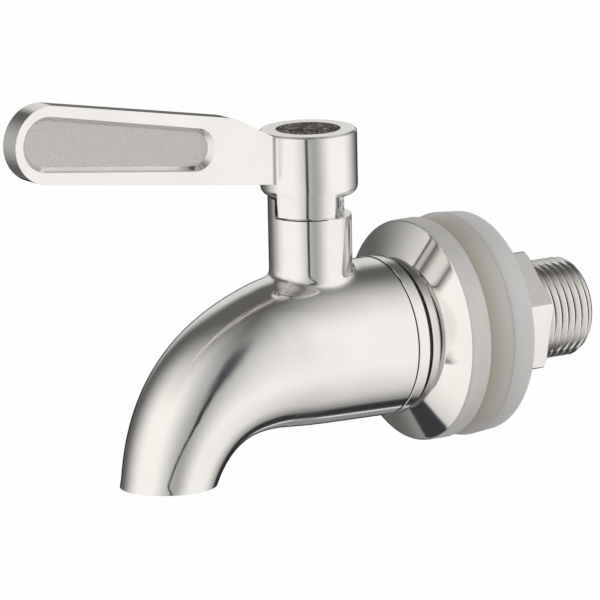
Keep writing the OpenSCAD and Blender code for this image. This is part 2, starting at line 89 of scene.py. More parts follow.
class SpoutSizes(bpy.types.PropertyGroup):
    """Sizes of the cast spout"""
    barrel_r: length("Barrel radius", "Outer radius of the barrel", BODY_HI.y)
    back: length("Back", "Rear end of the casting", BODY_HI.x)
    curve_start: length("Curve start", "Where the spout leaves the barrel", -26 * MM)
    rise: length("Rise", "How far the barrel's front end rises", 0.31 * MM)
    reach: length("Reach", "Middle of the mouth", -52.6 * MM)
    mouth_r: length("Mouth radius", "Outer radius at the mouth", 7.85 * MM)
    mouth_bore_r: length("Mouth bore", "Radius of the passage at the mouth", 6.4 * MM)
    neck_r: length("Neck radius", "Outer radius of the upright neck", 6.95 * MM)
    collar_h: length("Collar height", "Height of the half collar above the rim", 3.2 * MM)
    collar_bore_r: length("Collar bore", "Inner radius of the half collar", 5.25 * MM)
    voxel: length("Voxel", "Mesh size that the casting is blended at", 0.3 * MM)


class LeverSizes(bpy.types.PropertyGroup):
    """Sizes of the lever"""
    boss_r: length("Boss radius", "Outer radius of the boss", 8.1 * MM)
    boss_z: length("Boss underside", "Height of the boss's underside", 25.9 * MM)
    recess_r: length("Recess radius", "Radius of the recess for the cap", CAP_HI.y)
    reach: length("Lever reach", "Boss axis to the centre of the round end", 52 * MM)
    end_z: length("End height", "Height of the centre of the round end", 40.8 * MM)
    end_r: length("End radius", "Radius of the round end", 6.55 * MM)
    root_z: length("Root height", "Height of the lower edge at the boss", 28.6 * MM)
    thickness: length("Thickness", "Thickness of the arm", 3.8 * MM)
    edge_r: length("Edge rounding", "Rounding of the arm's long edges", 0.7 * MM)
    fillet_r: length("Fillet", "Fillet between the arm and the boss", 1.2 * MM)
    panel_len: length("Panel length", "Distance between the panel's end centres", 29.4 * MM)
    panel_depth: length("Panel depth", "Depth of the sunk panel", 0.9 * MM)


class TailSizes(bpy.types.PropertyGroup):
    """Sizes of the tail, flange, washers and nut"""
    crest_r: length("Thread radius", "Radius over the crests", 8.33 * MM)
    pitch: length("Pitch", "Distance from crest to crest", 1.337 * MM)
    bore_r: length("Bore", "Radius of the inlet bore", 5.0 * MM)
    rim_w: length("Rim width", "Width of the flange's rim", 4.0 * MM)
    land_r: length("Land radius", "Radius of the flange's front land", 12.75 * MM)
    nut_af: length("Nut", "Width across the flats", 19.8 * MM)
    nut_turn: bpy.props.FloatProperty(name="Nut turn", description="Angle of the nut",
                                      default=radians(44), subtype="ANGLE")


class FinishColours(bpy.types.PropertyGroup):
    """Colours of the finishes"""
    steel: colour("Steel", "Satin-polished casting", (0.80, 0.788, 0.770))
    frosted: colour("Frosted steel", "Blasted panel in the lever", (0.66, 0.625, 0.61))
    # Painted shade: this near-black colour is painted into the groove behind the ring, the thread roots
    # and round the cap's edge.
    gap: colour("Gap", "Blackened groove behind the ring", (0.03, 0.028, 0.027))
    cap: colour("Cap", "Rough cast cap", (0.15, 0.135, 0.125))
    speck: colour("Specks", "Bright grains in the cap", (0.70, 0.68, 0.66))
    silicone: colour("Silicone", "Milky washers", (0.78, 0.78, 0.785))
    # Painted shade: the washers' colour runs to this darker, warmer tone towards the flange.
    silicone_shade: colour("Deep silicone", "Where the washers look deeper", (0.56, 0.51, 0.45))
    plastic: colour("Seats", "White seat rings", (0.86, 0.86, 0.83))
    rubber: colour("Seals", "Black O-rings", (0.02, 0.02, 0.02))


# Tools of the bench


def deselect():
    """Nothing is selected, in object mode."""
    if bpy.context.mode != "OBJECT":
        bpy.ops.object.mode_set(mode="OBJECT")
    bpy.ops.object.select_all(action="DESELECT")


def pick(piece):
    """Only this piece is selected and active."""
    deselect()
    piece.select_set(True)
    bpy.context.view_layer.objects.active = piece
    return piece


def edit(piece):
    """Edit mode on this piece, with all of it selected."""
    pick(piece)
    bpy.ops.object.mode_set(mode="EDIT")
    bpy.ops.mesh.select_mode(type="VERT")
    bpy.ops.mesh.select_all(action="SELECT")


def done():
    """Back to object mode."""
    bpy.ops.object.mode_set(mode="OBJECT")


def named(name):
    """The active object, renamed, with its place put into its mesh."""
    piece = bpy.context.object
    piece.name = name
    piece.data.name = name
    pick(piece)
    bpy.ops.object.transform_apply(location=True, rotation=True, scale=True)
    return piece


def modified(piece, kind, **settings):
    """A modifier, set and applied."""
    pick(piece)
    modifier = piece.modifiers.new(kind, kind)
    for name, value in settings.items():
        setattr(modifier, name, value)
    bpy.ops.object.modifier_apply(modifier=modifier.name)
    return piece


def joined(piece, tool, how, most_faces=20000):
    """A Boolean with a tool that is used up; solids with few faces are triangulated first."""
    for solid in (piece, tool):
        if len(solid.data.polygons) < most_faces:
            edit(solid)
            bpy.ops.mesh.quads_convert_to_tris()
            done()
    modified(piece, "BOOLEAN", operation=how, solver="EXACT", object=tool)
    bpy.data.objects.remove(tool)
    return piece


def cut(piece, tool):
    """The tool taken away from the piece."""
    return joined(piece, tool, "DIFFERENCE")


def rounded(piece, width, segments=3, angle=30):
    """Edges sharper than the angle rounded."""
    return modified(piece, "BEVEL", width=width, segments=segments, limit_method="ANGLE",
                    angle_limit=radians(angle), miter_outer="MITER_ARC")


def smoothed(piece, angle=35, weighted=True):
    """Smooth shading, with creases above the angle and flat faces kept flat."""
    pick(piece)
    bpy.ops.object.shade_smooth_by_angle(angle=radians(angle))
    if weighted:
        modified(piece, "WEIGHTED_NORMAL", keep_sharp=True, weight=60)
    return piece


def finished(piece, finish):
    """One finish over the whole piece."""
    piece.data.materials.clear()
    piece.data.materials.append(finish)
    return piece


def off_tail(place):
    """Distance of a place from the tail's axis."""
    return hypot(place.y, place.z)


def off_stem(place):
    """Distance of a place from the valve's upright axis."""
    return hypot(place.x - VALVE.x, place.y)


def painted(piece, finish, chosen):
    """A second finish on the faces that a test of place and normal picks."""
    piece.data.materials.append(finish)
    slot = len(piece.data.materials) - 1
    for face in piece.data.polygons:
        if chosen(face.center, face.normal):
            face.material_index = slot
    return piece


def outline(name, points, closed=True):
    """A line drawn from point to point, by extruding one vertex."""
    deselect()
    bpy.ops.mesh.primitive_plane_add(size=MM, location=(0, 0, 0))
    piece = named(name)
    edit(piece)
    bpy.ops.mesh.merge(type="CENTER")
    bpy.ops.transform.translate(value=Vector(points[0]))
    for here, there in zip(points, points[1:]):
        bpy.ops.mesh.extrude_region_move(
            TRANSFORM_OT_translate={"value": Vector(there) - Vector(here)})
    if closed:
        mesh = bmesh.from_edit_mesh(piece.data)
        mesh.verts.ensure_lookup_table()
        mesh.verts[0].select = True
        bmesh.update_edit_mesh(piece.data)
        bpy.ops.mesh.edge_face_add()
    done()
    return piece


def solid_normals(piece):
    """Doubles merged and faces turned outwards."""
    edit(piece)
    bpy.ops.mesh.remove_doubles(threshold=1e-7)
    bpy.ops.mesh.normals_make_consistent(inside=False)
    done()
    return piece


def turned(name, profile, steps=144, upright=False, closed=False):
    """A piece turned on a lathe from (place along the axis, radius) pairs."""
    if upright:
        points = [(VALVE.x + r, 0, a) for a, r in profile]
        centre, axis = VALVE, (0, 0, 1)
    else:
        points = [(a, 0, r) for a, r in profile]
        centre, axis = (0, 0, 0), (1, 0, 0)
    piece = outline(name, points, closed)
    edit(piece)
    bpy.ops.mesh.spin(steps=steps, angle=2 * pi, center=centre, axis=axis)
    done()
    return solid_normals(piece)


def prism(name, points, way):
    """A face drawn round the points and extruded all along the way."""
    piece = outline(name, points)
    edit(piece)
    bpy.ops.mesh.edge_face_add()
    bpy.ops.mesh.extrude_region_move(TRANSFORM_OT_translate={"value": way})
    done()
    return solid_normals(piece)


def block(name, low, high):
    """A box between two corners, for cutting."""
    low, high = Vector(low), Vector(high)
    deselect()
    bpy.ops.mesh.primitive_cube_add(size=1, location=(low + high) / 2, scale=high - low)
    return named(name)


def drum(name, radius, low, high, upright=True, sides=96):
    """A round bar for cutting, along the valve's axis or along the tail."""
    middle = (low + high) / 2
    deselect()
    bpy.ops.mesh.primitive_cylinder_add(
        vertices=sides, radius=radius, depth=high - low,
        location=(VALVE.x, 0, middle) if upright else (middle, 0, 0),
        rotation=(0, 0, 0) if upright else (0, pi / 2, 0))
    return named(name)


def arc(centre, radius, start, turn, count):
    """Points in a plane round a centre."""
    return [(centre[0] + radius * cos(start + turn * i / count),
             centre[1] + radius * sin(start + turn * i / count)) for i in range(count + 1)]


# The spout's spine


def spine_controls(s):
    """Four control points of the spout's spine, in the XZ plane."""
    lean, lead = radians(11.8), 18.5 * MM
    pull, dip = 8 * MM, 1.04 * MM
    start, end = Vector((s.curve_start, 0, s.rise)), Vector((s.reach, 0, BODY_LO.z))
    return [start, start - Vector((pull, 0, dip)),
            end + lead * Vector((sin(lean), 0, cos(lean))), end]


def spine(s, t):
    """Point and direction of the spine at t from 0 to 1."""
    a, b, c, d = spine_controls(s)
    u = 1 - t
    point = u ** 3 * a + 3 * u * u * t * b + 3 * u * t * t * c + t ** 3 * d
    way = u * u * (b - a) + 2 * u * t * (c - b) + t * t * (d - c)
    return point, way.normalized()


def outer_r(s, t):
    """Outer radius of the spout, which tapers gently at first."""
    ease = 0.06
    return s.barrel_r + (s.mouth_r - s.barrel_r) * (1 + ease) * t * t / (t + ease)


def swept(name, stations, sides):
    """A tube pulled from ring to ring; a station is (centre, way, radius)."""
    centre, way, radius = stations[0]
    deselect()
    bpy.ops.mesh.primitive_circle_add(vertices=sides, radius=radius, fill_type="NGON",
                                      location=centre,
                                      rotation=(0, atan2(way.x, way.z), 0))
    piece = named(name)
    edit(piece)
    for before, (centre, way, radius) in zip(stations, stations[1:]):
        last, last_way, last_radius = before
        bpy.ops.mesh.extrude_region_move(TRANSFORM_OT_translate={"value": centre - last})
        turn = atan2(way.x, way.z) - atan2(last_way.x, last_way.z)
        turn = (turn + pi) % (2 * pi) - pi
        if abs(turn) > 1e-9:
            bpy.ops.transform.rotate(value=-turn, orient_axis="Y", orient_type="GLOBAL",
                                     center_override=centre)
        grow = radius / last_radius
        bpy.ops.transform.resize(value=(grow, grow, grow), center_override=centre)
    done()
    return solid_normals(piece)


def eased(stations, middle, reach, passes=120):
    """Stations with those near a place along X averaged with their neighbours."""
    for _ in range(passes):
        before = [(centre.copy(), radius) for centre, way, radius in stations]
        for i in range(1, len(stations) - 1):
            centre, way, radius = stations[i]
            share = 0.5 * max(0, 1 - abs(centre.x - middle) / reach)
            beside = (before[i - 1][0] + before[i + 1][0]) / 2
            centre = centre.lerp(beside, share)
            radius += share * ((before[i - 1][1] + before[i + 1][1]) / 2 - radius)
            if share > 0:
                way = (before[i + 1][0] - before[i - 1][0]).normalized()
            stations[i] = (centre, way, radius)
    return stations


def casting(s):
    """The outside of the casting: barrel, curved spout and neck blended into one skin."""
    level = Vector((-1, 0, 0))
    run, steps, rings, blend = s.back - s.curve_start, 12, 64, 3.2 * MM
    lead = [(Vector((s.back + 2 * MM, 0, 0)), level, s.barrel_r)]
    lead += [(Vector((s.back - run * i / steps, 0, s.rise * i / steps)), level, s.barrel_r)
             for i in range(steps)]
    curve = [(*spine(s, i / rings), outer_r(s, i / rings)) for i in range(rings + 1)]
    end, way, radius = curve[-1]
    line = eased(lead + curve, s.curve_start, 8 * MM)
    tube = swept("polished_casting", line + [(end + way * 4 * MM, way, radius)], 96)
    neck = drum("neck", s.neck_r, 0, BODY_HI.z + 2 * MM)
    joined(tube, neck, "UNION")
    modified(tube, "REMESH", mode="VOXEL", voxel_size=s.voxel)
    group = tube.vertex_groups.new(name="blend")
    for v in tube.data.vertices:
        across = Vector((v.co.x - VALVE.x, v.co.y, 0)).length - s.neck_r
        roof = sqrt(max(s.barrel_r ** 2 - v.co.y ** 2, 0))
        near = Vector((max(across, 0), 0, max(v.co.z - roof, 0))).length
        weight = 1 - near / blend
        if v.co.z > 5 * MM and across < 4 * MM and weight > 0:
            group.add([v.index], min(weight * 1.6, 1), "REPLACE")
    modified(tube, "SMOOTH", factor=0.5, iterations=6)
    modified(tube, "SMOOTH", factor=0.5, iterations=26, vertex_group="blend")
    modified(tube, "SMOOTH", factor=0.5, iterations=3)
    return tube


def passage(s):
    """The waterway from the ball to the mouth."""
    start, steps, throat_r = 0.05, 30, 5.2 * MM
    stations = []
    for i in range(steps + 1):
        t = start + (1 - start) * i / steps
        stations.append((*spine(s, t), throat_r + (s.mouth_bore_r - throat_r) * t))
    end, way, radius = stations[-1]
    stations.append((end + way * 2.5 * MM, way, radius))
    return swept("passage", stations, 64)


class SPIGOT_OT_casting(bpy.types.Operator):
    """Model the cast spout with its neck, half collar, mouth and inner chamber"""
    bl_idname = "spigot.casting"
    bl_label = "Spout casting"

    def execute(self, context):
        s = context.scene.spigot_spout
        piece = casting(s)
        rim_z = BODY_HI.z - s.collar_h
        bush_r, bush_h, stem_r = 4.65 * MM, 3.2 * MM, 3.55 * MM
        foot_r, roof_z = 5.2 * MM, 11.45 * MM
        chamber_r, chamber_out, chamber_in = 9.6 * MM, 6.3 * MM, 7.3 * MM
        nose_r, nose_x, seat_out = 10.65 * MM, -17.1 * MM, 9.25 * MM
        cut(piece, block("behind", (s.back, -FAR, -FAR), (FAR, FAR, FAR)))
        cut(piece, block("below", (-2 * FAR, -FAR, -2 * FAR), (FAR, FAR, BODY_LO.z)))
        cut(piece, block("above", (-FAR, -FAR, BODY_HI.z), (FAR, FAR, FAR)))
        cut(piece, block("front", (-FAR, -FAR, rim_z), (FAR, 0, FAR)))
        cut(piece, drum("collar", s.collar_bore_r, rim_z, FAR))
        cut(piece, drum("bush seat", bush_r, rim_z - bush_h, FAR))
        cut(piece, drum("stem bore", stem_r, 0, FAR))
        cut(piece, drum("roof", foot_r, 0, roof_z))
        cut(piece, drum("chamber", chamber_r, VALVE.x - chamber_out, VALVE.x + chamber_in,
                        False))
        cut(piece, drum("nose", nose_r, nose_x, 0, False))
        cut(piece, drum("seat", SEAT_R, VALVE.x - seat_out, VALVE.x, False))
        cut(piece, passage(s))
        smoothed(piece, 40, False)
        finished(piece, satin_steel())
        painted(piece, cast_steel(), lambda c, n: c.z > rim_z + 0.1 * MM
                and (abs(n.y) > 0.9 and abs(c.y) < 0.05 * MM
                     or off_stem(c) < s.collar_bore_r + 0.1 * MM))
        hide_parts("spigot_body")
        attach(piece, FIXED)
        return {"FINISHED"}


# Thread


def thread_core(name, low, high, crest_r, root_r, pitch):
    """A closed bar with a helical thread, a little longer than asked."""
    root, crest = 0.29 * pitch, 0.14 * pitch
    flank = (pitch - root - crest) / 2
    line = [(0, root_r), (root / 2, root_r), (root / 2 + flank, crest_r),
            (root / 2 + flank + crest, crest_r), (pitch - root / 2, root_r), (pitch, root_r)]
    start = low - 2 * pitch
    turns = int((high - start) / pitch) + 3
    piece = outline(name, [(start + a, 0, r) for a, r in line], closed=False)
    modified(piece, "SCREW", axis="X", steps=72, render_steps=72, iterations=turns,
             screw_offset=pitch, use_merge_vertices=True, merge_threshold=1e-7)
    for end in (start, start + pitch * (turns + 1)):
        edit(piece)
        bpy.ops.mesh.remove_doubles(threshold=1e-7)
        bpy.ops.mesh.select_all(action="DESELECT")
        bpy.ops.mesh.select_mode(type="EDGE")
        bpy.ops.mesh.select_non_manifold()
        mesh = bmesh.from_edit_mesh(piece.data)
        for edge in mesh.edges:
            middle = (edge.verts[0].co.x + edge.verts[1].co.x) / 2
            if abs(middle - end) > 1.5 * pitch:
                edge.select_set(False)
        bmesh.update_edit_mesh(piece.data)
        bpy.ops.mesh.extrude_region_move()
        bpy.ops.mesh.merge(type="CENTER")
        done()
    return solid_normals(piece)


class SPIGOT_OT_tail(bpy.types.Operator):
    """Turn the tail with its polished ring and cut the helical thread"""
    bl_idname = "spigot.tail"
    bl_label = "Threaded tail"

    def execute(self, context):
        s = context.scene.spigot_tail
        ring_x, ring_w, seam = -11.1 * MM, 2.35 * MM, 0.15 * MM
        ring_r, step_r = TAIL_HI.y, 12.5 * MM
        back = ring_x + ring_w
        groove_r, nose_r = 9.2 * MM, 10.6 * MM
        groove_x = ring_x - 1.5 * MM
        root_r = s.crest_r - THREAD_DEPTH * s.pitch
        bevel, seat_h, shade_from = 0.9 * MM, 3 * MM, 10.7 * MM
        groove_end, collar_r, over = -7.7 * MM, step_r + 0.2 * MM, 0.2 * MM
        blank = turned("threaded_tail", [
            (TAIL_LO.x, s.bore_r), (TAIL_LO.x, nose_r), (groove_x, nose_r),
            (groove_x, groove_r), (ring_x, groove_r), (ring_x, ring_r - 5 * seam),
            (ring_x + 1.6 * seam, ring_r - 5 * seam), (ring_x + 1.6 * seam, ring_r - 0.7 * seam),
            (ring_x + 2.3 * seam, ring_r), (back - seam, ring_r), (back, ring_r - seam),
            (back, step_r), (groove_end, step_r), (groove_end, collar_r),
            (FLANGE_LO.x, collar_r), (FLANGE_LO.x, s.crest_r + over),
            (TAIL_HI.x - bevel - over, s.crest_r + over), (TAIL_HI.x, s.crest_r - bevel),
            (TAIL_HI.x, s.bore_r + 0.3 * MM), (TAIL_HI.x - 0.3 * MM, s.bore_r)], closed=True)
        collar = drum("collar", 14 * MM, TAIL_LO.x - MM, FLANGE_LO.x + 0.5 * MM, False, 144)
        core = thread_core("core", FLANGE_LO.x, TAIL_HI.x, s.crest_r, root_r, s.pitch)
        joined(core, collar, "UNION")
        joined(blank, core, "INTERSECT")
        cut(blank, drum("seat", SEAT_R, TAIL_LO.x - MM, TAIL_LO.x + seat_h, False))
        smoothed(blank, 30)
        finished(blank, turned_steel())
        # Painted shade: the groove behind the ring and the thread roots from the nut onwards are
        # painted near-black where shade falls.
        painted(blank, painted_shade_steel(), lambda c, n: ring_x - 0.01 * MM < c.x < groove_end + 0.01 * MM
                and shade_from < off_tail(c) < step_r + 0.25 * MM
                or c.x > NUT_LO.x and abs(off_tail(c) - root_r) < 0.05 * MM)
        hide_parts("tail_nipple")
        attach(blank, FIXED)
        return {"FINISHED"}


class SPIGOT_OT_flange(bpy.types.Operator):
    """Turn the dished flange with its rolled rim"""
    bl_idname = "spigot.flange"
    bl_label = "Dished flange"

    def execute(self, context):
        s = context.scene.spigot_tail
        outer = FLANGE_HI.y
        bore = s.crest_r + 0.3 * MM
        lip = 0.5 * MM
        front = FLANGE_LO.x
        rim_x = FLANGE_HI.x - s.rim_w
        piece = turned("dished_flange", [
            (FLANGE_HI.x, bore), (FLANGE_HI.x, outer - 0.15 * MM),
            (FLANGE_HI.x - 0.15 * MM, outer), (rim_x + lip, outer),
            (rim_x + 0.15 * MM, outer - 0.15 * MM), (rim_x, outer - lip),
            (front, s.land_r), (front, bore)], steps=180, closed=True)
        rounded(piece, 0.12 * MM, 2, 12)
        smoothed(piece)
        finished(piece, mirror_steel())
        painted(piece, rim_steel(), lambda c, n: off_tail(c) > outer - 0.1 * MM
                and c.x > rim_x + 0.25 * MM)
        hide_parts("flange")
        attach(piece, FIXED)
        return {"FINISHED"}


class SPIGOT_OT_washers(bpy.types.Operator):
    """Mould the two silicone washers"""
    bl_idname = "spigot.washers"
    bl_label = "Silicone washers"

    def execute(self, context):
        s = context.scene.spigot_tail
        bore = s.crest_r + 0.3 * MM
        edges = {"front_washer": (0.8 * MM, 0.5 * MM, 0, 0.1 * MM),
                 "rear_washer": (0, 0.1 * MM, 0.35 * MM, 0.5 * MM)}
        for node, (first, first_r, last, last_r) in edges.items():
            low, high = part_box(node)
            piece = turned(node + "_moulded", [(low.x, bore)]
                           + arc((low.x + first_r, high.y - first - first_r), first_r,
                                 pi, -pi / 2, 5)
                           + arc((high.x - last_r, high.y - last - last_r), last_r,
                                 pi / 2, -pi / 2, 5)
                           + [(high.x, bore)], steps=160, closed=True)
            smoothed(piece)
            finished(piece, silicone())
            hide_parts(node)
            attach(piece, FIXED)
        return {"FINISHED"}


class SPIGOT_OT_nut(bpy.types.Operator):
    """Make the hexagon nut with its bevelled faces and inner thread"""
    bl_idname = "spigot.nut"
    bl_label = "Hexagon nut"

    def execute(self, context):
        s = context.scene.spigot_tail
        corner_r = s.nut_af / 2 / cos(radians(30))
        face_r, bevel = corner_r - 0.8 * MM, 0.55 * MM
        low, high = NUT_LO.x, NUT_HI.x
        clear = 0.05 * MM
        root_r = s.crest_r - THREAD_DEPTH * s.pitch
        piece = drum("hexagon_nut", corner_r, low, high, False, 6)
        edit(piece)
        bpy.ops.transform.rotate(value=-s.nut_turn, orient_axis="X", orient_type="GLOBAL",
                                 center_override=(0, 0, 0))
        done()
        rounded(piece, 0.3 * MM, 3, 50)
        blank = turned("blank", [(low, 0), (low, face_r), (low + bevel, corner_r + 0.1 * MM),
                                 (high - bevel, corner_r + 0.1 * MM), (high, face_r),
                                 (high, 0)])
        joined(piece, blank, "INTERSECT")
        core = thread_core("core", FLANGE_LO.x, TAIL_HI.x, s.crest_r + clear, root_r + clear,
                           s.pitch)
        cut(piece, core)
        cut(piece, turned("mouth", [(low - MM, 0), (low - MM, s.crest_r + MM),
                                    (low + MM, s.crest_r - MM), (low + MM, 0)]))
        cut(piece, turned("mouth", [(high + MM, 0), (high + MM, s.crest_r + MM),
                                    (high - MM, s.crest_r - MM), (high - MM, 0)]))
        smoothed(piece, 25)
        finished(piece, turned_steel())
        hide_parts("mounting_nut")
        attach(piece, FIXED)
        return {"FINISHED"}


# Lever


def lever_slopes(s):
    """How steeply the arm's upper and lower edges rise towards its round end."""
    return radians(10.5), atan2(s.end_z - s.end_r - s.root_z, s.reach - s.boss_r)


def lever_side(s):
    """The arm's outline seen from the side, as (distance from the boss axis, height)."""
    top, low = lever_slopes(s)
    turn, brow_r = radians(17.5), 12 * MM
    brow_at, root = 17.6 * MM, 6 * MM
    centre = (s.reach, s.end_z)
    edge = (centre[0] - s.end_r * sin(top), centre[1] + s.end_r * cos(top))
    brow = (brow_at, edge[1] + (brow_at - edge[0]) * tan(top))
    pivot = (brow[0] + brow_r * sin(top), brow[1] - brow_r * cos(top))
    shoulder = arc(pivot, brow_r, pi / 2 + top, turn, 10)
    end = shoulder[-1]
    fall = tan(top + turn)
    return (arc(centre, s.end_r, pi / 2 + top, -(pi + top - low), 40)
            + [(root, s.root_z - (s.boss_r - root) * tan(low)),
               (root, end[1] - (end[0] - root) * fall)] + shoulder[::-1])


def lever_plan(s):
    """The arm's outline seen from above, with fillets where it meets the boss."""
    half, f = s.thickness / 2, s.fillet_r
    meet = s.boss_r - 0.04 * MM
    out = sqrt((meet + f) ** 2 - (half + f) ** 2)
    tip = s.reach + s.end_r + MM
    inner = s.boss_r - 1.5 * MM
    lean = atan2(half + f, out)
    side = arc((out, half + f), f, -pi / 2, -(pi / 2 - lean), 8)
    near = (inner * cos(lean), inner * sin(lean))
    upper = [(tip, half)] + side + [near]
    return upper + [(x, -y) for x, y in reversed(upper)]


def panel_tool(s, side):
    """A solid that cuts the sunk panel, with sloping walls and round ends."""
    lean = sum(lever_slopes(s)) / 2
    far = (s.reach + 0.4 * MM, s.end_z + 0.15 * MM)
    near = (far[0] - s.panel_len * cos(lean), far[1] - s.panel_len * sin(lean))
    end_r, root_r = 4.65 * MM, 3.6 * MM
    splay = asin((end_r - root_r) / s.panel_len)

    def slot(inset):
        return (arc(far, end_r - inset, pi / 2 + lean + splay, -(pi + 2 * splay), 28)
                + arc(near, root_r - inset, lean - pi / 2 - splay, -(pi - 2 * splay), 28))

    outer_y = side * (s.thickness / 2 + 0.4 * MM)
    floor_y = side * (s.thickness / 2 - s.panel_depth)
    wide, narrow = slot(-0.35 * MM), slot(0.8 * MM)
    piece = outline("panel", [(VALVE.x - x, outer_y, z) for x, z in wide])
    edit(piece)
    bpy.ops.mesh.edge_face_add()
    bpy.ops.mesh.extrude_region_move(
        TRANSFORM_OT_translate={"value": (0, floor_y - outer_y, 0)})
    done()
    for vertex in piece.data.vertices:
        if abs(vertex.co.y - floor_y) < 0.01 * MM:
            gaps = [hypot(VALVE.x - x - vertex.co.x, z - vertex.co.z) for x, z in wide]
            x, z = narrow[gaps.index(min(gaps))]
            vertex.co = (VALVE.x - x, floor_y, z)
    return solid_normals(piece)


class SPIGOT_OT_lever(bpy.types.Operator):
    """Model the lever: boss, hub, stop tab, arm and its two sunk panels"""
    bl_idname = "spigot.lever"
    bl_label = "Lever"

    def execute(self, context):
        s = context.scene.spigot_lever
        below = 20 * MM
        arm = prism("arm", [(VALVE.x - x, FAR, z) for x, z in lever_side(s)],
                    (0, -2 * FAR, 0))
        plan = prism("plan", [(VALVE.x - x, y, below) for x, y in lever_plan(s)],
                     (0, 0, FAR))
        joined(arm, plan, "INTERSECT")
        rounded(arm, s.edge_r, 5, 50)
        cut(arm, panel_tool(s, -1))
        cut(arm, panel_tool(s, 1))
        under = s.boss_z
        boss_top = CAP_HI.z + 0.9 * MM
        hub_z, hub_r = LEVER_LO.z, 4.9 * MM
        corner, bevel = 1.5 * MM, 0.3 * MM
        turn = [(under + corner - corner * sin(a), s.boss_r - corner + corner * cos(a))
                for a in [pi / 2 * i / 6 for i in range(7)]]
        boss = turned("flag_lever", [(boss_top, 0), (boss_top, s.boss_r - bevel),
                                     (boss_top - bevel, s.boss_r)] + turn
                      + [(under, hub_r), (hub_z, hub_r), (hub_z, 0)], upright=True)
        joined(boss, arm, "UNION")
        tab_r, tab_start, tab_sweep = s.boss_r - 0.35 * MM, radians(194), radians(75)
        tab = outline("tab", [(VALVE.x + r, 0, z) for r, z in [
            (hub_r - MM, hub_z), (tab_r - bevel, hub_z), (tab_r, hub_z + bevel),
            (s.boss_r - 0.03 * MM, under + corner), (hub_r - MM, under + corner)]])
        edit(tab)
        bpy.ops.mesh.edge_face_add()
        bpy.ops.transform.rotate(value=-tab_start, orient_axis="Z", orient_type="GLOBAL",
                                 center_override=VALVE)
        bpy.ops.mesh.spin(steps=40, angle=-tab_sweep, center=VALVE, axis=(0, 0, 1))
        done()
        joined(boss, solid_normals(tab), "UNION")
        square, square_z, screw_r = 5.0 * MM, 27.1 * MM, 1.7 * MM
        head_r, head_z, clear = 4.6 * MM, 28.6 * MM, 0.02 * MM
        cut(boss, block("square", (VALVE.x - square / 2, -square / 2, hub_z - MM),
                        (VALVE.x + square / 2, square / 2, square_z)))
        cut(boss, drum("screw", screw_r, below, FAR))
        cut(boss, drum("head", head_r, head_z, 2 * FAR))
        cut(boss, drum("recess", s.recess_r + clear, CAP_LO.z, 2 * FAR, sides=144))
        smoothed(boss, 30)
        finished(boss, satin_steel())
        floor_y = s.thickness / 2 - s.panel_depth
        painted(boss, frosted_steel(), lambda c, n: abs(abs(c.y) - floor_y) < 0.02 * MM
                and abs(n.y) > 0.99 and VALVE.x - c.x > s.boss_r)
        painted(boss, cast_steel(), lambda c, n: c.z < under + 0.2 * MM
                and hub_r + 0.1 * MM < off_stem(c)
                and abs(n.z) < 0.5 and abs(n.x * c.y - n.y * (c.x - VALVE.x)) > 2 * MM)
        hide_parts("handle")
        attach(boss, TURNING)
        return {"FINISHED"}


class SPIGOT_OT_cap(bpy.types.Operator):
    """Model the rough plug in the boss's top"""
    bl_idname = "spigot.cap"
    bl_label = "Rough cap"

    def execute(self, context):
        low, high = CAP_LO.z, CAP_HI.z
        radius, hollow = CAP_HI.y, 4.6 * MM
        half = (low + high) / 2
        rings = [(high - 0.12 * MM, radius * (1 - i / 30)) for i in range(31)]
        piece = turned("rough_plug", [(half, 0), (half, hollow), (low, hollow), (low, radius),
                               (high - 0.3 * MM, radius)] + rings[1:], steps=120,
                       upright=True)
        group = piece.vertex_groups.new(name="face")
        group.add([v.index for v in piece.data.vertices
                   if v.co.z > high - 0.13 * MM], 1, "REPLACE")
        lumps = bpy.data.textures.new("lumps", "CLOUDS")
        lumps.noise_scale = 0.55 * MM
        lumps.noise_depth = 3
        modified(piece, "DISPLACE", texture=lumps, texture_coords="LOCAL", direction="Z",
                 strength=0.9 * MM, mid_level=0.75, vertex_group="face")
        smoothed(piece, 50, False)
        finished(piece, rough_cap())
        # Painted shade: a near-black rim round the cap's edge stands for the shade in the gap to the
        # recess.
        painted(piece, painted_shade_steel(), lambda c, n: off_stem(c) > radius - 0.25 * MM)
        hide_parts("handle_cap")
        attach(piece, TURNING)
        return {"FINISHED"}


# Materials


def material(name):
    """A node material and its tree, or the one made before and no tree."""
    found = bpy.data.materials.get(name)
    if found:
        return found, None
    made = bpy.data.materials.new(name)
    made.use_nodes = True
    return made, made.node_tree


def node(tree, kind, **values):
    """A node with its settings and the values of its inputs."""
    made = tree.nodes.new(kind)
    for name, value in values.items():
        if name in made.inputs:
            made.inputs[name].default_value = value
        else:
            setattr(made, name, value)
    return made


def grain(tree, scale, detail=3.0, stretch=(1, 1, 1)):
    """Noise in object space."""
    place = node(tree, "ShaderNodeTexCoord")
    mapping = node(tree, "ShaderNodeMapping")
    mapping.inputs["Scale"].default_value = stretch
    noise = node(tree, "ShaderNodeTexNoise", Scale=scale, Detail=detail)
    tree.links.new(place.outputs["Object"], mapping.inputs["Vector"])
    tree.links.new(mapping.outputs["Vector"], noise.inputs["Vector"])
    return noise.outputs["Fac"]


def spread(tree, value, low, high):
    """A value from 0 to 1 mapped between two others."""
    ranged = node(tree, "ShaderNodeMapRange")
    ranged.inputs["From Min"].default_value = 0.3
    ranged.inputs["From Max"].default_value = 0.7
    ranged.inputs["To Min"].default_value = low
    ranged.inputs["To Max"].default_value = high
    tree.links.new(value, ranged.inputs["Value"])
    return ranged.outputs["Result"]


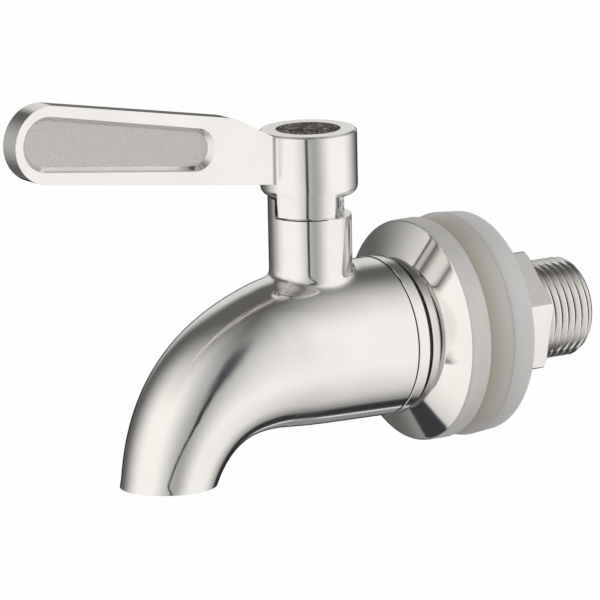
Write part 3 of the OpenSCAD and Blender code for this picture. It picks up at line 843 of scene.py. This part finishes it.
def tint(tree, value, dark, light):
    """A colour between two others."""
    mix = node(tree, "ShaderNodeMix", data_type="RGBA")
    mix.inputs["A"].default_value = (*dark, 1)
    mix.inputs["B"].default_value = (*light, 1)
    tree.links.new(value, mix.inputs["Factor"])
    return mix.outputs["Result"]


def bump(tree, shader, value, strength, distance):
    """Relief from a value."""
    made = node(tree, "ShaderNodeBump", Strength=strength, Distance=distance)
    tree.links.new(value, made.inputs["Height"])
    tree.links.new(made.outputs["Normal"], shader.inputs["Normal"])


def steel(name, base, rough, wave, fine, cloud=90, metal=1.0, dark=0.94):
    """Polished steel: slight colour drift, uneven gloss, shallow waves and fine grain."""
    made, tree = material(name)
    if tree is None:
        return made
    shader = tree.nodes["Principled BSDF"]
    shader.inputs["Metallic"].default_value = metal
    drift = spread(tree, grain(tree, cloud, 2.0), 0.0, 1.0)
    tree.links.new(tint(tree, drift, [c * dark for c in base], base),
                   shader.inputs["Base Color"])
    gloss = spread(tree, grain(tree, 3 * cloud, 4.0), rough * 0.8, rough * 1.25)
    tree.links.new(gloss, shader.inputs["Roughness"])
    bump(tree, shader, grain(tree, fine, 3.0), wave, 0.02 * MM)
    return made


def satin_steel():
    base = bpy.context.scene.spigot_colours.steel
    return steel("satin_steel", base, 0.095, 0.07, 900)


def turned_steel():
    base = bpy.context.scene.spigot_colours.steel
    return steel("turned_steel", base, 0.12, 0.10, 1400)


def mirror_steel():
    base = bpy.context.scene.spigot_colours.steel
    return steel("mirror_steel", base, 0.07, 0.04, 700)


def rim_steel():
    base = [c * 0.98 for c in bpy.context.scene.spigot_colours.steel]
    return steel("rim_steel", base, 0.55, 0.2, 1600, 500, 0.25)


def frosted_steel():
    base = bpy.context.scene.spigot_colours.frosted
    return steel("frosted_steel", base, 0.62, 0.8, 4200, 2200, dark=0.96)


def cast_steel():
    base = bpy.context.scene.spigot_colours.steel
    return steel("cast_steel", base, 0.35, 1.0, 1500, 1300, dark=0.2)


def plain(name, base, rough, scale):
    """A plastic, rubber or cast surface with fine grain."""
    made, tree = material(name)
    if tree is None:
        return made
    shader = tree.nodes["Principled BSDF"]
    drift = spread(tree, grain(tree, scale, 3.0), 0.0, 1.0)
    tree.links.new(tint(tree, drift, [c * 0.88 for c in base], base),
                   shader.inputs["Base Color"])
    tree.links.new(spread(tree, grain(tree, scale * 2), rough * 0.85, rough * 1.15),
                   shader.inputs["Roughness"])
    bump(tree, shader, grain(tree, scale * 3), 0.2, 0.03 * MM)
    return made


# Near-black steel that paints shade into the groove behind the ring, the thread roots and the gap round
# the cap.
def painted_shade_steel():
    return plain("painted_shade_steel", bpy.context.scene.spigot_colours.gap, 0.6, 900)


def silicone():
    """Milky rubber with painted shade: darker and warmer towards the flange."""
    colours = bpy.context.scene.spigot_colours
    made, tree = material("milky_silicone")
    if tree is None:
        return made
    shader = tree.nodes["Principled BSDF"]
    place = node(tree, "ShaderNodeSeparateXYZ")
    tree.links.new(node(tree, "ShaderNodeTexCoord").outputs["Object"], place.inputs[0])
    # Painted shade: the colour is darker and warmer near the flange, set by the place along X with a
    # little noise.
    drift = combine(tree, "MULTIPLY", grain(tree, 60, 1.0), 3 * MM)
    depth = combine(tree, "ADD", place.outputs["X"], drift)
    band = node(tree, "ShaderNodeMapRange", interpolation_type="SMOOTHSTEP")
    band.inputs["From Min"].default_value = 1.5 * MM
    band.inputs["From Max"].default_value = 8.5 * MM
    tree.links.new(depth, band.inputs["Value"])
    tree.links.new(tint(tree, band.outputs["Result"], colours.silicone_shade,
                        colours.silicone), shader.inputs["Base Color"])
    tree.links.new(spread(tree, grain(tree, 500), 0.36, 0.44), shader.inputs["Roughness"])
    bump(tree, shader, grain(tree, 250, 2.0), 0.15, 0.05 * MM)
    shader.inputs["Subsurface Weight"].default_value = 0.5
    shader.inputs["Subsurface Radius"].default_value = (1.0, 0.9, 0.8)
    shader.inputs["Subsurface Scale"].default_value = 2 * MM
    return made


def rough_cap():
    """Dark cast metal with bright grains."""
    colours = bpy.context.scene.spigot_colours
    made, tree = material("rough_cap")
    if tree is None:
        return made
    shader = tree.nodes["Principled BSDF"]
    shader.inputs["Metallic"].default_value = 0.8
    specks = node(tree, "ShaderNodeMapRange")
    specks.inputs["From Min"].default_value = 0.52
    specks.inputs["From Max"].default_value = 0.64
    tree.links.new(grain(tree, 2300, 2.0), specks.inputs["Value"])
    tree.links.new(tint(tree, specks.outputs["Result"], colours.cap, colours.speck),
                   shader.inputs["Base Color"])
    tree.links.new(spread(tree, grain(tree, 900), 0.45, 0.7), shader.inputs["Roughness"])
    bump(tree, shader, grain(tree, 2600, 4.0), 0.9, 0.12 * MM)
    return made


class SPIGOT_OT_inner(bpy.types.Operator):
    """Give the inner pieces of the valve their finishes"""
    bl_idname = "spigot.inner"
    bl_label = "Inner pieces"

    def execute(self, context):
        colours = context.scene.spigot_colours
        white = plain("seat_plastic", colours.plastic, 0.45, 500)
        black = plain("seal_rubber", colours.rubber, 0.6, 700)
        finishes = {"tail_seal_ring": black, "lower_stem_seal": black,
                    "upper_stem_seal": black, "front_seat": white, "rear_seat": white,
                    "thrust_washer": white, "guide_bush": white, "valve_ball": mirror_steel(),
                    "valve_stem": turned_steel(), "spring_washer": turned_steel(),
                    "handle_screw": turned_steel()}
        for name, finish in finishes.items():
            finished(frame["nodes"][name], finish)
        return {"FINISHED"}


# Stage


def camera_axes():
    """Right, up and backward of the camera, at the photograph's angle."""
    elevation, roll = radians(11.9741), radians(-1.1414)
    back = Vector((sin(CAMERA_AZIMUTH) * cos(elevation),
                   -cos(CAMERA_AZIMUTH) * cos(elevation), sin(elevation)))
    right = Vector((cos(CAMERA_AZIMUTH), sin(CAMERA_AZIMUTH), 0))
    up = back.cross(right)
    return (right * cos(roll) + up * sin(roll), up * cos(roll) - right * sin(roll), back)


STUDIO = (
    # middle heading, then headings from it and heights where it starts, is full, is full, ends
    ("front fill", 0, (-70, -40, 40, 70), (-115, -20, 22, 96), (0.46, 0.46, 0.45)),
    ("left softbox", -60, (-82, -10, 18, 76), (-115, -20, 22, 96), (1.17, 1.15, 1.11)),
    ("right softbox", 70, (-58, -14, 18, 85), (-115, -20, 22, 96), (1.14, 1.12, 1.09)),
    ("rear wall", 180, (-34, -14, 14, 34), (-2, 10, 26, 44), (0.80, 0.79, 0.77)),
    ("low rear", 180, (-22, -14, 14, 22), (-66, -56, -34, -28), (0.30, 0.30, 0.31)),
    ("floor gap", 148, (-16, -7, 7, 16), (-70, -56, -22, -14), (0.04, 0.04, 0.045)),
    ("floor line", 163, (-3, -1, 1, 3), (-54, -48, -34, -30), (0.90, 0.90, 0.90)),
    ("low left", -107, (-14, -11, 9, 12), (-66, -62, -30, -26), (0.05, 0.05, 0.055)),
    ("dark edge", 180, (-32, -22, 22, 32), (-30, -23, -5, 1), (0.02, 0.02, 0.025)),
    ("high gap", -5, (-12, -3, 3, 12), (6, 34, 42, 66), (0.10, 0.105, 0.12)),
    ("low gap", -5, (-5, -1.5, 1.5, 5), (-95, -85, 14, 44), (0.03, 0.03, 0.035)),
)


def ramp(tree, value, start, end):
    """Zero at one angle and one at the other, in degrees, eased at both ends."""
    step = node(tree, "ShaderNodeMapRange", interpolation_type="SMOOTHSTEP")
    step.inputs["From Min"].default_value = radians(min(start, end))
    step.inputs["From Max"].default_value = radians(max(start, end))
    step.inputs["To Min"].default_value = 0 if start < end else 1
    step.inputs["To Max"].default_value = 1 if start < end else 0
    tree.links.new(value, step.inputs["Value"])
    return step.outputs["Result"]


def window(tree, value, stops):
    """One between the two middle angles and zero outside the outer two."""
    return combine(tree, "MULTIPLY", ramp(tree, value, stops[0], stops[1]),
                   ramp(tree, value, stops[3], stops[2]))


def combine(tree, operation, first, second=None):
    """A math node on one or two values."""
    made = node(tree, "ShaderNodeMath", operation=operation)
    for socket, value in zip(made.inputs, (first, second)):
        if isinstance(value, bpy.types.NodeSocket):
            tree.links.new(value, socket)
        elif value is not None:
            socket.default_value = value
    return made.outputs[0]


def along(tree, direction, axis):
    """How far a direction points along an axis."""
    made = node(tree, "ShaderNodeVectorMath", operation="DOT_PRODUCT")
    made.inputs[1].default_value = axis
    tree.links.new(direction, made.inputs[0])
    return made.outputs["Value"]


def studio(world):
    """A white studio with soft grey cards round the object; the camera sees it white."""
    tree = world.node_tree
    tree.nodes.clear()
    right = Vector((cos(CAMERA_AZIMUTH), sin(CAMERA_AZIMUTH), 0))
    front = Vector((sin(CAMERA_AZIMUTH), -cos(CAMERA_AZIMUTH), 0))
    direction = node(tree, "ShaderNodeTexCoord").outputs["Generated"]
    height = combine(tree, "ARCSINE", along(tree, direction, (0, 0, 1)))
    lean = combine(tree, "MULTIPLY", ramp(tree, height, -13, 4), radians(21))
    colour = None
    for name, heading, across, up, shade in STUDIO:
        turn = Matrix.Rotation(radians(heading), 3, "Z")
        side = combine(tree, "ARCTAN2", along(tree, direction, turn @ right),
                       along(tree, direction, turn @ front))
        if name in ("high gap", "low gap"):
            side = combine(tree, "SUBTRACT", side, lean)
        mask = combine(tree, "MULTIPLY", window(tree, side, across),
                       window(tree, height, up))
        mix = node(tree, "ShaderNodeMix", data_type="RGBA")
        mix.inputs["A"].default_value = (0.14, 0.138, 0.133, 1)
        mix.inputs["B"].default_value = (*shade, 1)
        if colour:
            tree.links.new(colour, mix.inputs["A"])
        tree.links.new(mask, mix.inputs["Factor"])
        colour = mix.outputs["Result"]
    seen = node(tree, "ShaderNodeBackground")
    seen.inputs["Color"].default_value = (1, 1, 1, 1)
    lit = node(tree, "ShaderNodeBackground")
    tree.links.new(colour, lit.inputs["Color"])
    both = node(tree, "ShaderNodeMixShader")
    tree.links.new(node(tree, "ShaderNodeLightPath").outputs["Is Camera Ray"], both.inputs[0])
    tree.links.new(lit.outputs[0], both.inputs[1])
    tree.links.new(seen.outputs[0], both.inputs[2])
    tree.links.new(both.outputs[0], node(tree, "ShaderNodeOutputWorld").inputs["Surface"])


def pale_floor():
    """A white floor that keeps a faint shadow and lets the studio show in the metal."""
    made, tree = material("pale_floor")
    shader = tree.nodes["Principled BSDF"]
    shader.inputs["Base Color"].default_value = (0.9, 0.9, 0.9, 1)
    shader.inputs["Roughness"].default_value = 0.8
    white = node(tree, "ShaderNodeEmission")
    white.inputs["Color"].default_value = (1, 1, 1, 1)
    clear = node(tree, "ShaderNodeBsdfTransparent")
    path = node(tree, "ShaderNodeLightPath")
    whiten = node(tree, "ShaderNodeMixShader")
    tree.links.new(combine(tree, "MULTIPLY", path.outputs["Is Camera Ray"], 0.975),
                   whiten.inputs[0])
    tree.links.new(shader.outputs[0], whiten.inputs[1])
    tree.links.new(white.outputs[0], whiten.inputs[2])
    open_to = node(tree, "ShaderNodeMixShader")
    tree.links.new(path.outputs["Is Glossy Ray"], open_to.inputs[0])
    tree.links.new(whiten.outputs[0], open_to.inputs[1])
    tree.links.new(clear.outputs[0], open_to.inputs[2])
    tree.links.new(open_to.outputs[0], tree.nodes["Material Output"].inputs["Surface"])
    return made


class SPIGOT_OT_stage(bpy.types.Operator):
    """Set up the pale floor, the studio's light and the camera"""
    bl_idname = "spigot.stage"
    bl_label = "Stage"

    def execute(self, context):
        right, up, back = camera_axes()
        distance, lens, floor_drop = 2.0, 718.08, 40 * MM
        centre_right, centre_up = -21.4405 * MM, 4.5081 * MM
        data = bpy.data.cameras.new("camera")
        camera = bpy.data.objects.new("camera", data)
        context.scene.collection.objects.link(camera)
        aim = centre_right * right + centre_up * up
        camera.matrix_world = Matrix.Translation(aim + back * distance) @ Matrix(
            (right, up, back)).transposed().to_4x4()
        data.sensor_width = 36
        data.lens = lens
        data.clip_end = 20
        context.scene.camera = camera
        deselect()
        bpy.ops.mesh.primitive_plane_add(size=6, location=(0, 0, BODY_LO.z - floor_drop))
        floor = bpy.context.object
        floor.name = "floor"
        floor.data.materials.append(pale_floor())
        world = context.scene.world or bpy.data.worlds.new("world")
        context.scene.world = world
        world.use_nodes = True
        studio(world)
        context.scene.view_settings.view_transform = "Standard"
        return {"FINISHED"}


class SPIGOT_PT_panel(bpy.types.Panel):
    """Sizes, colours and steps of the spigot"""
    bl_idname = "SPIGOT_PT_panel"
    bl_label = "Spigot"
    bl_space_type = "VIEW_3D"
    bl_region_type = "UI"
    bl_category = "Spigot"

    def draw(self, context):
        scene = context.scene
        for step in STEPS:
            self.layout.operator(step.bl_idname)
        for group in (scene.spigot_spout, scene.spigot_lever, scene.spigot_tail,
                      scene.spigot_colours):
            box = self.layout.box()
            for name in group.bl_rna.properties.keys():
                if name not in ("rna_type", "name"):
                    box.prop(group, name)


STEPS = (SPIGOT_OT_casting, SPIGOT_OT_tail, SPIGOT_OT_flange, SPIGOT_OT_washers,
         SPIGOT_OT_nut, SPIGOT_OT_lever, SPIGOT_OT_cap, SPIGOT_OT_inner, SPIGOT_OT_stage)
GROUPS = {"spigot_spout": SpoutSizes, "spigot_lever": LeverSizes, "spigot_tail": TailSizes,
          "spigot_colours": FinishColours}


def register():
    for group in GROUPS.values():
        bpy.utils.register_class(group)
    for step in (*STEPS, SPIGOT_PT_panel):
        bpy.utils.register_class(step)
    for name, group in GROUPS.items():
        setattr(bpy.types.Scene, name, bpy.props.PointerProperty(type=group))


def unregister():
    for name in GROUPS:
        delattr(bpy.types.Scene, name)
    for step in (SPIGOT_PT_panel, *reversed(STEPS)):
        bpy.utils.unregister_class(step)
    for group in GROUPS.values():
        bpy.utils.unregister_class(group)


def main():
    register()
    bpy.ops.spigot.casting()
    bpy.ops.spigot.tail()
    bpy.ops.spigot.flange()
    bpy.ops.spigot.washers()
    bpy.ops.spigot.nut()
    bpy.ops.spigot.lever()
    bpy.ops.spigot.cap()
    bpy.ops.spigot.inner()
    bpy.ops.spigot.stage()
    deselect()


if __name__ == "__main__":
    main()
